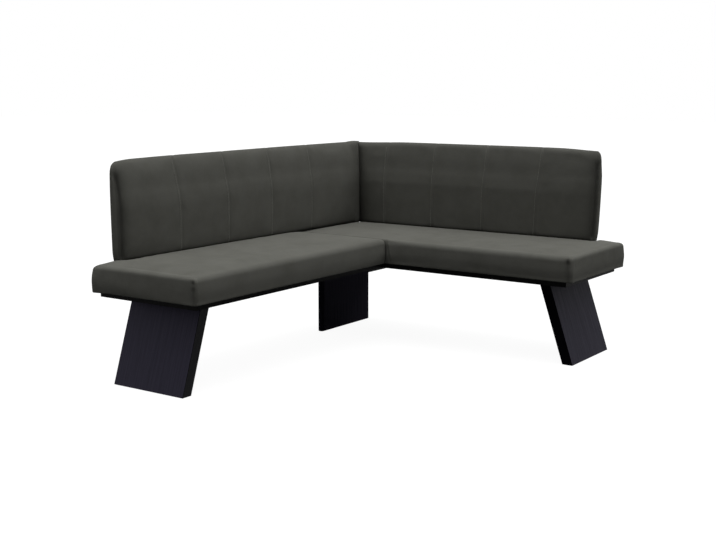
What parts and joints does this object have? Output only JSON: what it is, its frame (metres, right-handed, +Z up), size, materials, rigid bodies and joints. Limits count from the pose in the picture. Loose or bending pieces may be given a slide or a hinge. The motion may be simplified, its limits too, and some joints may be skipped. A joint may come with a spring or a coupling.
{
  "type": "corner bench",
  "caption": "L-shaped upholstered corner bench with channelled backrests, crowned seats, slanted plank legs and an upright corner leg.",
  "frame": {"origin": "on the floor, below the middle of the bench's outer box", "axes": "+Z up; +X along the long wing from its free end to the corner; +Y from the seats' front to the long wing's backrest"},
  "size_m": [1.7703, 1.4503, 0.87],
  "materials": {
    "leatherette": "matte fine grain, olive grey",
    "foam": "open cell foam",
    "dust_cloth": "black spunbond cloth",
    "webbing": "woven elastic webbing",
    "felt": "pressed felt",
    "frame_wood": "planed softwood",
    "plywood": "sanded plywood",
    "black_wood": "black lacquer",
    "stained_oak": "black stain, satin lacquer",
    "black_steel": "black powder coat",
    "zinc_steel": "zinc plated"
  },
  "bodies": {
    "root": {"bar_frame_screws": "zinc_steel", "bar_rail_screws": "zinc_steel", "bar_sleeves": "zinc_steel", "base_screws": "zinc_steel", "corner_leg": "stained_oak", "corner_leg_angles": "black_steel", "corner_leg_bearer": "black_wood", "corner_leg_felt": "felt", "leg_screws": "zinc_steel", "long_back_bar_1": "black_steel", "long_back_bar_2": "black_steel", "long_back_bar_3": "black_steel", "long_back_cover": "leatherette", "long_back_foam": "foam", "long_back_panel": "plywood", "long_base_free_end_rail": "black_wood", "long_base_front_rail": "black_wood", "long_base_inner_end_rail": "black_wood", "long_base_leg_bearer": "black_wood", "long_base_rear_rail": "black_wood", "long_leg": "stained_oak", "long_leg_felt": "felt", "long_leg_plate": "black_steel", "long_seat_cover": "leatherette", "long_seat_cross_rails": "frame_wood", "long_seat_dust_cover": "dust_cloth", "long_seat_foam": "foam", "long_seat_free_end_rail": "frame_wood", "long_seat_front_rail": "frame_wood", "long_seat_inner_end_rail": "frame_wood", "long_seat_rear_rail": "frame_wood", "long_seat_webbing": "webbing", "panel_bolts": "zinc_steel", "panel_tee_nuts": "zinc_steel", "plate_screws": "zinc_steel", "short_back_bar_1": "black_steel", "short_back_bar_2": "black_steel", "short_back_bar_3": "black_steel", "short_back_cover": "leatherette", "short_back_foam": "foam", "short_back_panel": "plywood", "short_base_free_end_rail": "black_wood", "short_base_front_rail": "black_wood", "short_base_inner_end_rail": "black_wood", "short_base_leg_bearer": "black_wood", "short_base_rear_rail": "black_wood", "short_leg": "stained_oak", "short_leg_felt": "felt", "short_leg_plate": "black_steel", "short_seat_cover": "leatherette", "short_seat_cross_rails": "frame_wood", "short_seat_dust_cover": "dust_cloth", "short_seat_foam": "foam", "short_seat_free_end_rail": "frame_wood", "short_seat_front_rail": "frame_wood", "short_seat_inner_end_rail": "frame_wood", "short_seat_rear_rail": "frame_wood", "short_seat_webbing": "webbing", "wing_plates": "black_steel"}
  },
  "joints": []
}
